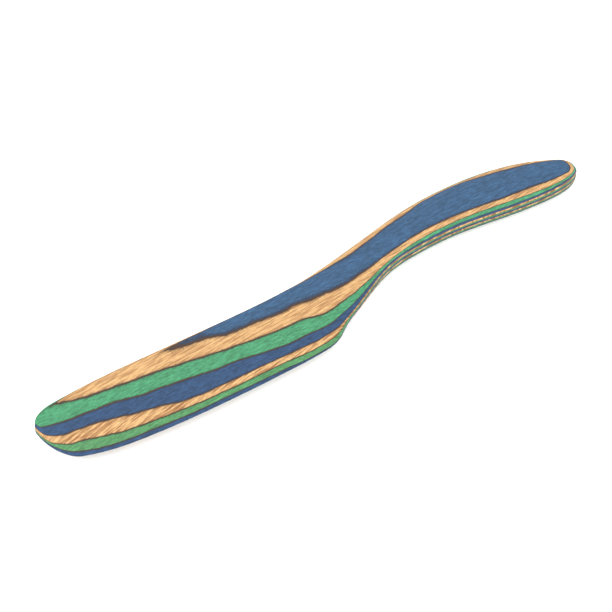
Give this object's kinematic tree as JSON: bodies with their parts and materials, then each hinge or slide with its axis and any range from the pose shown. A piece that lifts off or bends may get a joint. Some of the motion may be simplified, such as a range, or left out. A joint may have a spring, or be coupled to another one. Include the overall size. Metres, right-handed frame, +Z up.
{
  "type": "laminated wooden spreader",
  "caption": "Hand-shaped table spreader in dyed laminated birch: wide blade ground to a thin edge, stepped heel and S-curved rounded handle.",
  "frame": {"origin": "Middle of the spreader's bounding box, on the surface that it rests on.", "axes": "+X runs from the blade's tip to the handle's end, +Y points to the side of the straight spine, away from the cutting edge, and +Z is up, square to the veneers."},
  "size_m": [0.184, 0.0334, 0.0086],
  "materials": {
    "blue_veneer": "satin",
    "natural_veneer": "satin",
    "green_veneer": "satin",
    "glue": "matte"
  },
  "bodies": {
    "root": {"veneer_01_blue": "blue_veneer", "glue_line_01": "glue", "veneer_02_natural": "natural_veneer", "glue_line_02": "glue", "veneer_03_green": "green_veneer", "glue_line_03": "glue", "veneer_04_blue": "blue_veneer", "glue_line_04": "glue", "veneer_05_natural": "natural_veneer", "glue_line_05": "glue", "veneer_06_green": "green_veneer", "glue_line_06": "glue", "veneer_07_blue": "blue_veneer", "glue_line_07": "glue", "veneer_08_natural": "natural_veneer", "glue_line_08": "glue", "veneer_09_green": "green_veneer", "glue_line_09": "glue", "veneer_10_blue": "blue_veneer", "glue_line_10": "glue", "veneer_11_natural": "natural_veneer", "glue_line_11": "glue", "veneer_12_green": "green_veneer", "glue_line_12": "glue", "veneer_13_blue": "blue_veneer"}
  },
  "joints": []
}
